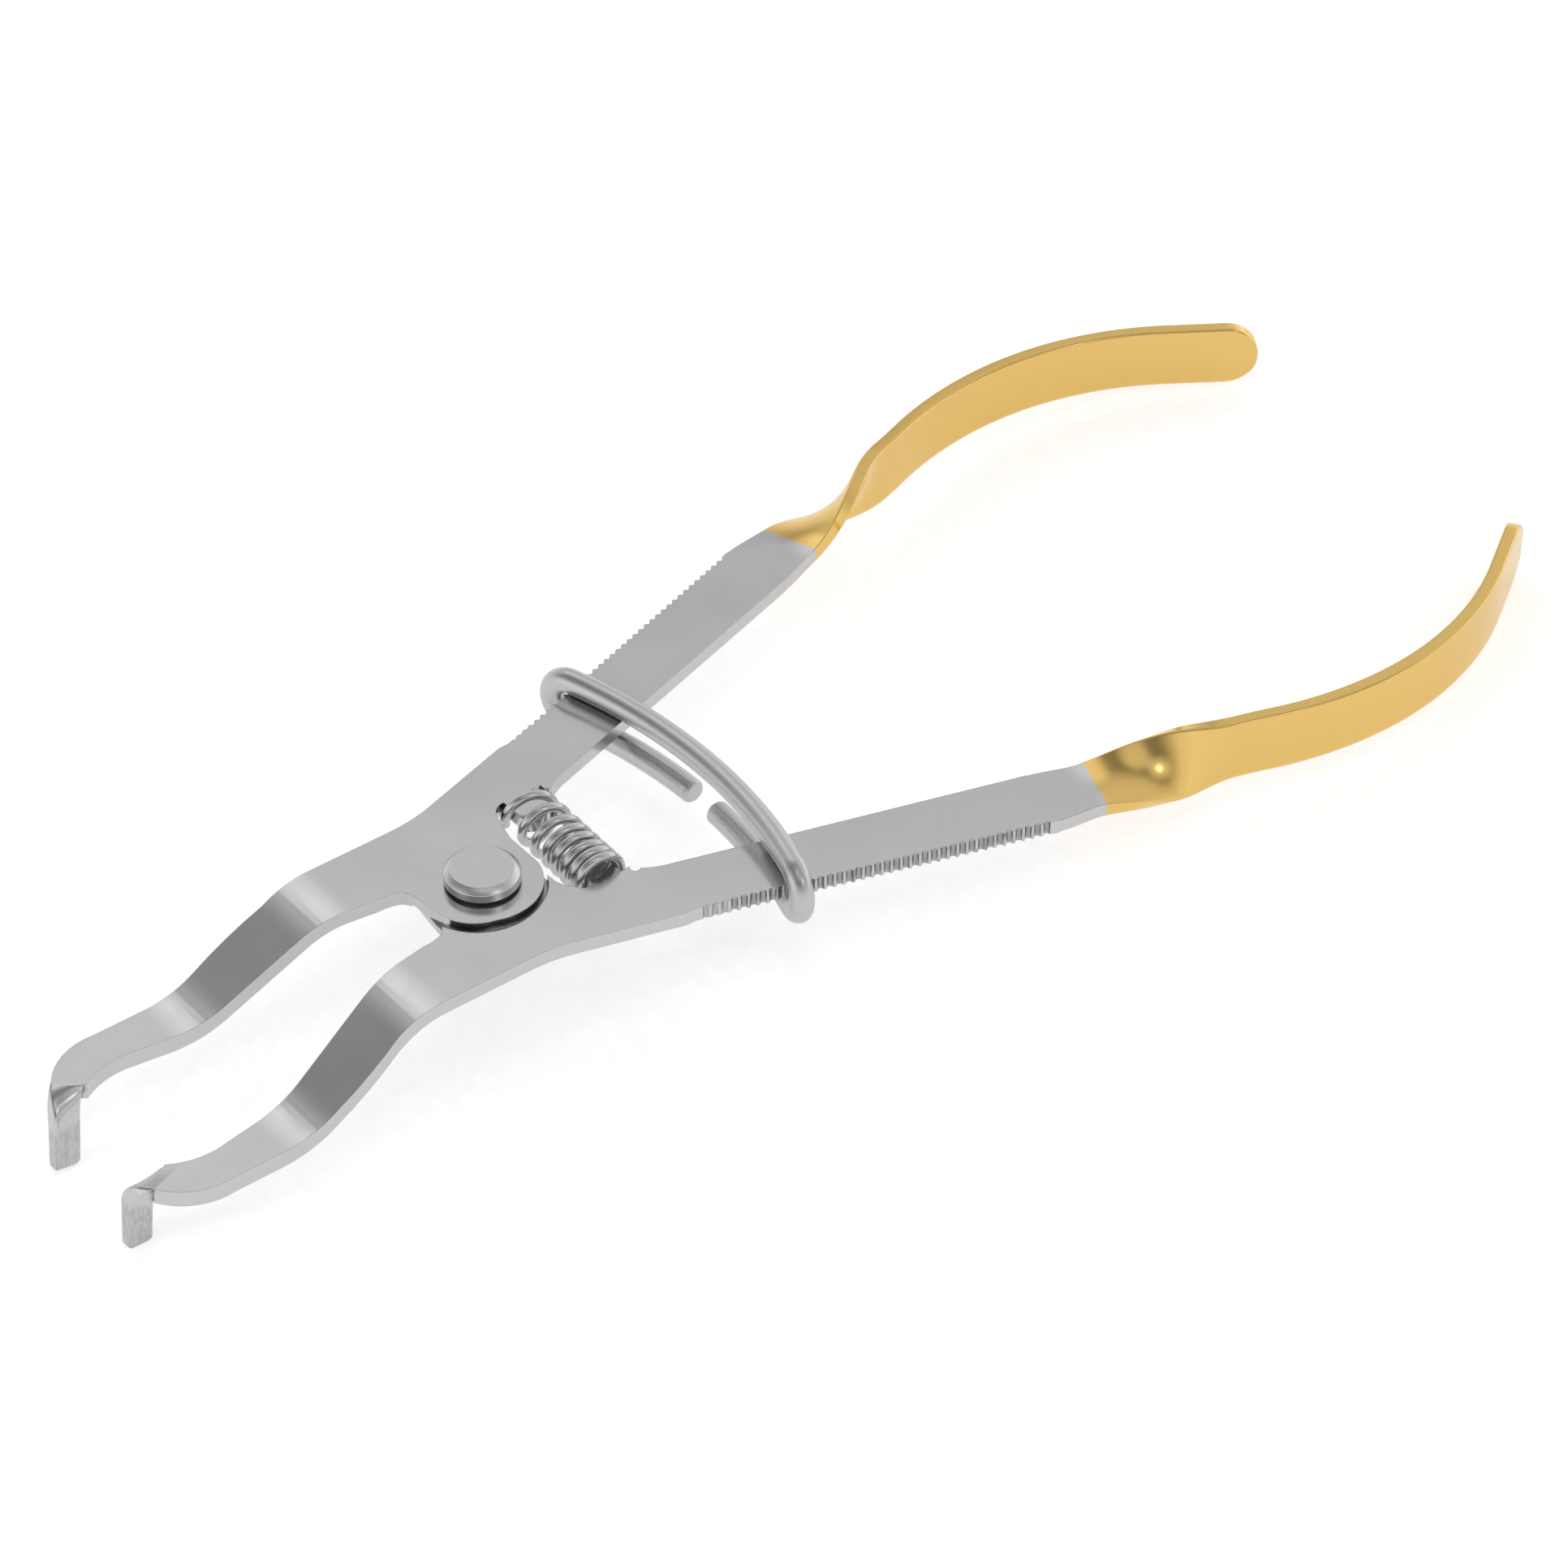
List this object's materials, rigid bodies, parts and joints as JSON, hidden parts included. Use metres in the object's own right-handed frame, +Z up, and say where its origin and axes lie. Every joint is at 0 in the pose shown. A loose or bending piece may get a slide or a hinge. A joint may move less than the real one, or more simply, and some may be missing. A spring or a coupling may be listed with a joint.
{
  "type": "matrix ring forceps",
  "caption": "Hand forceps whose arms do not cross: squeezing the gold handles spreads the down-turned jaw tips, and a wire bow on the toothed shanks holds them open.",
  "frame": {"origin": "on the pivot axis at the rivet's tail face, level with the underside of the lower arm", "axes": "+X along the forceps towards the handles, the upper arm on the +Y side, +Z up through the plates"},
  "size_m": [0.1733, 0.069, 0.0207],
  "materials": {
    "arm_steel": "polished stainless steel, handles plated gold",
    "pin_steel": "turned stainless steel",
    "spring_steel": "bright spring wire",
    "bow_steel": "satin stainless wire"
  },
  "bodies": {
    "lower_arm": {"lower_arm": "arm_steel", "spring": "spring_steel"},
    "upper_arm": {"upper_arm": "arm_steel"},
    "pivot_pin": {"pivot_pin": "pin_steel"},
    "lock_bow": {"lock_bow": "bow_steel"}
  },
  "joints": [
    {"name": "arm_hinge", "type": "hinge", "parent": "lower_arm", "child": "upper_arm", "pos_m": [0, 0, 0.001], "axis": [0, 0, 1], "range_deg": [-16.8, 13.4], "stiffness_Nm_per_rad": 0.5, "deforming": ["spring"]},
    {"name": "pin_turn", "type": "hinge", "parent": "lower_arm", "child": "pivot_pin", "pos_m": [0, 0, 0.001], "axis": [0, 0, 1], "range_deg": [-8.45, 6.75]},
    {"name": "bow_slide", "type": "slide", "parent": "pivot_pin", "child": "lock_bow", "axis": [1, 0, 0], "range_m": [-0.0118, 0.0148]}
  ],
  "couplings": [
    {"joint": "pin_turn", "follows": "arm_hinge", "ratio": 0.5},
    {"joint": "bow_slide", "follows": "arm_hinge", "m_per_rad": -0.0497}
  ]
}
